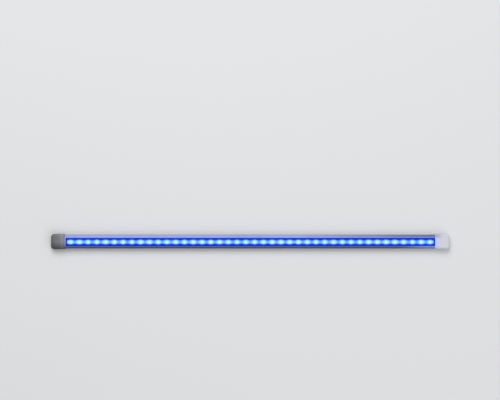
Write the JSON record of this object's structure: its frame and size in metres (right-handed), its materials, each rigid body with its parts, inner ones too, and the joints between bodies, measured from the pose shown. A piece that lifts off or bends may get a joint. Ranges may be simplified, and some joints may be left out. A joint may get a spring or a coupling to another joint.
{
  "type": "led strip light",
  "caption": "Slim flexible LED strip light for a car: a silicone sleeve with a blue-lit window, a cap at each end, LEDs on a circuit strip inside and an adhesive back.",
  "frame": {"origin": "middle of the strip's length and width, on the face it is stuck down by", "axes": "+X along the strip away from its wire end, +Z the way the light leaves, +Y towards the wider edge of the sleeve"},
  "size_m": [0.4544, 0.0176, 0.009],
  "materials": {
    "sleeve_silicone": "satin, translucent milky silicone",
    "window_silicone": "gloss, clear silicone lit blue",
    "cap_silicone_wire": "satin, translucent grey silicone",
    "cap_silicone_blind": "satin, milky white silicone",
    "sealant": "satin, cured silicone sealant",
    "circuit_board": "white solder mask with tinned copper pads",
    "led_package": "white moulded package with plated terminals",
    "led_fill": "clear silicone fill over the chip, lit",
    "chip_resistor": "black glaze with tinned ends",
    "foam_tape": "matte acrylic foam",
    "liner_film": "satin red film"
  },
  "bodies": {
    "root": {"sleeve": "sleeve_silicone", "light_window": "window_silicone", "circuit_strip": "circuit_board", "led_01": "led_package", "led_02": "led_package", "led_03": "led_package", "led_04": "led_package", "led_05": "led_package", "led_06": "led_package", "led_07": "led_package", "led_08": "led_package", "led_09": "led_package", "led_10": "led_package", "led_11": "led_package", "led_12": "led_package", "led_13": "led_package", "led_14": "led_package", "led_15": "led_package", "led_16": "led_package", "led_17": "led_package", "led_18": "led_package", "led_19": "led_package", "led_20": "led_package", "led_21": "led_package", "led_22": "led_package", "led_23": "led_package", "led_24": "led_package", "led_25": "led_package", "led_26": "led_package", "led_27": "led_package", "led_28": "led_package", "led_29": "led_package", "led_30": "led_package", "led_31": "led_package", "led_32": "led_package", "led_33": "led_package", "led_34": "led_package", "led_35": "led_package", "led_36": "led_package", "led_37": "led_package", "led_38": "led_package", "led_39": "led_package", "led_40": "led_package", "led_41": "led_package", "led_42": "led_package", "led_fills": "led_fill", "chip_resistors": "chip_resistor", "wire_end_cap": "cap_silicone_wire", "blind_end_cap": "cap_silicone_blind", "wire_end_seal": "sealant", "blind_end_seal": "sealant", "adhesive_tape": "foam_tape", "release_liner": "liner_film"}
  },
  "joints": []
}
